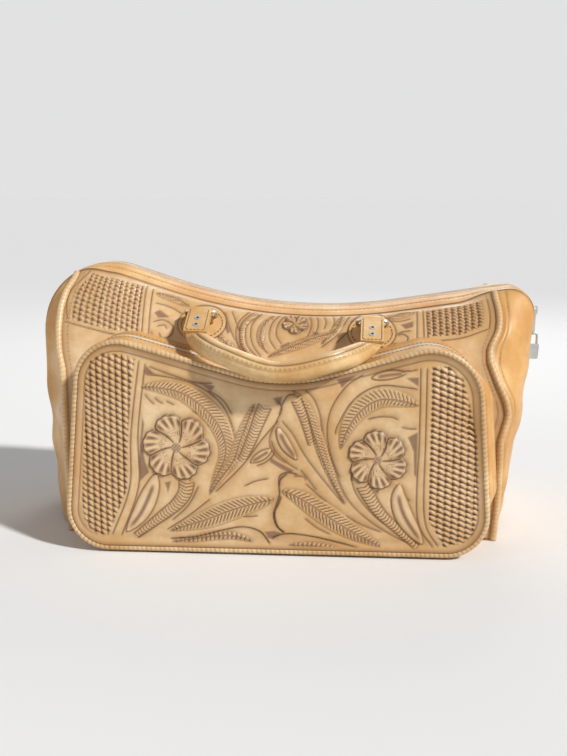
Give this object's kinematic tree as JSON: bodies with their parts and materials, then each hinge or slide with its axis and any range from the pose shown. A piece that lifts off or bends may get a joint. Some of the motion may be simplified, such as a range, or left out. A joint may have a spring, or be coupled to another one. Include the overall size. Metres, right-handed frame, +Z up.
{
  "type": "leather travel bag",
  "caption": "Soft travel bag of hand-tooled leather with a zipped top that sags, bulging ends, a tooled zipped front pocket, rolled handles on rings and a small padlock on the zip.",
  "frame": {"origin": "middle of the base, on the floor", "axes": "+X to the right as the pocket is faced, the pocket faces -Y, +Z up"},
  "size_m": [0.5383, 0.3226, 0.2786],
  "materials": {
    "tooled_leather": "hand-tooled vegetable-tanned leather, antiqued in the recesses",
    "plain_leather": "plain honey tan leather, worn smooth",
    "piping_leather": "thin leather rolled over a cord",
    "strap_leather": "rolled and folded strap leather",
    "zip_tape": "woven cotton tape",
    "zip_coil": "nylon coil",
    "nickel": "nickel-plated, lightly scratched"
  },
  "bodies": {
    "bag": {"front_panel": "tooled_leather", "pocket_panel": "tooled_leather", "back_panel": "plain_leather", "left_end_panel": "plain_leather", "right_end_panel": "plain_leather", "base_panel": "plain_leather", "front_zip_band": "plain_leather", "back_zip_band": "plain_leather", "left_zip_end_tab": "plain_leather", "right_zip_end_tab": "plain_leather", "pocket_gusset": "plain_leather", "pocket_front_band": "plain_leather", "pocket_rear_band": "plain_leather", "front_left_piping": "piping_leather", "front_right_piping": "piping_leather", "back_left_piping": "piping_leather", "back_right_piping": "piping_leather", "pocket_piping": "piping_leather", "front_left_handle_patch": "strap_leather", "front_right_handle_patch": "strap_leather", "rear_left_handle_patch": "strap_leather", "rear_right_handle_patch": "strap_leather", "main_zip_tape": "zip_tape", "pocket_zip_tape": "zip_tape", "main_zip_coil": "zip_coil", "pocket_zip_coil": "zip_coil"},
    "front_rings": {"front_left_ring": "nickel", "front_right_ring": "nickel"},
    "front_handle": {"front_handle_grip": "strap_leather", "front_left_handle_tab": "strap_leather", "front_right_handle_tab": "strap_leather", "front_handle_rivets": "nickel"},
    "rear_rings": {"rear_left_ring": "nickel", "rear_right_ring": "nickel"},
    "rear_handle": {"rear_handle_grip": "strap_leather", "rear_left_handle_tab": "strap_leather", "rear_right_handle_tab": "strap_leather", "rear_handle_rivets": "nickel"},
    "main_slider": {"main_zip_slider": "nickel"},
    "main_pull": {"main_zip_pull": "nickel"},
    "padlock_shackle": {"padlock_shackle": "nickel"},
    "padlock_case": {"padlock_case": "nickel"},
    "pocket_slider": {"pocket_zip_slider": "nickel"},
    "pocket_pull": {"pocket_zip_pull": "nickel"}
  },
  "joints": [
    {"name": "front_ring_swing", "type": "hinge", "parent": "bag", "child": "front_rings", "pos_m": [0.006, -0.0705, 0.223], "axis": [-0.999, 0, 0.0454], "range_deg": [0, 50]},
    {"name": "front_handle_swing", "type": "hinge", "parent": "front_rings", "child": "front_handle", "pos_m": [0.00634, -0.08115, 0.23044], "axis": [-0.999, 0, 0.0454], "range_deg": [0, 110]},
    {"name": "rear_ring_swing", "type": "hinge", "parent": "bag", "child": "rear_rings", "pos_m": [0.006, 0.0705, 0.223], "axis": [0.999, 0, -0.0454], "range_deg": [0, 75]},
    {"name": "rear_handle_swing", "type": "hinge", "parent": "rear_rings", "child": "rear_handle", "pos_m": [0.0059, 0.0833, 0.22075], "axis": [0.999, 0, -0.0454], "range_deg": [0, 110]},
    {"name": "main_slider_run", "type": "hinge", "parent": "bag", "child": "main_slider", "pos_m": [0.23853, 0, 0.22895], "axis": [0, -1, 0], "range_deg": [0, 90]},
    {"name": "main_pull_swing", "type": "hinge", "parent": "main_slider", "child": "main_pull", "pos_m": [0.27063, 0, 0.22895], "axis": [0, -1, 0], "range_deg": [0, 100]},
    {"name": "padlock_swing", "type": "hinge", "parent": "main_pull", "child": "padlock_shackle", "pos_m": [0.2702, 0, 0.20436], "axis": [1, 0, 0], "range_deg": [-30, 30]},
    {"name": "padlock_release", "type": "slide", "parent": "padlock_shackle", "child": "padlock_case", "axis": [0, 0, -1], "range_m": [0, 0.003]},
    {"name": "pocket_slider_run", "type": "hinge", "parent": "bag", "child": "pocket_slider", "pos_m": [0.14886, -0.113, 0.15846], "axis": [0, -1, 0], "range_deg": [0, 60]},
    {"name": "pocket_pull_swing", "type": "hinge", "parent": "pocket_slider", "child": "pocket_pull", "pos_m": [0.20208, -0.113, 0.17272], "axis": [0, -1, 0], "range_deg": [0, 100]}
  ]
}
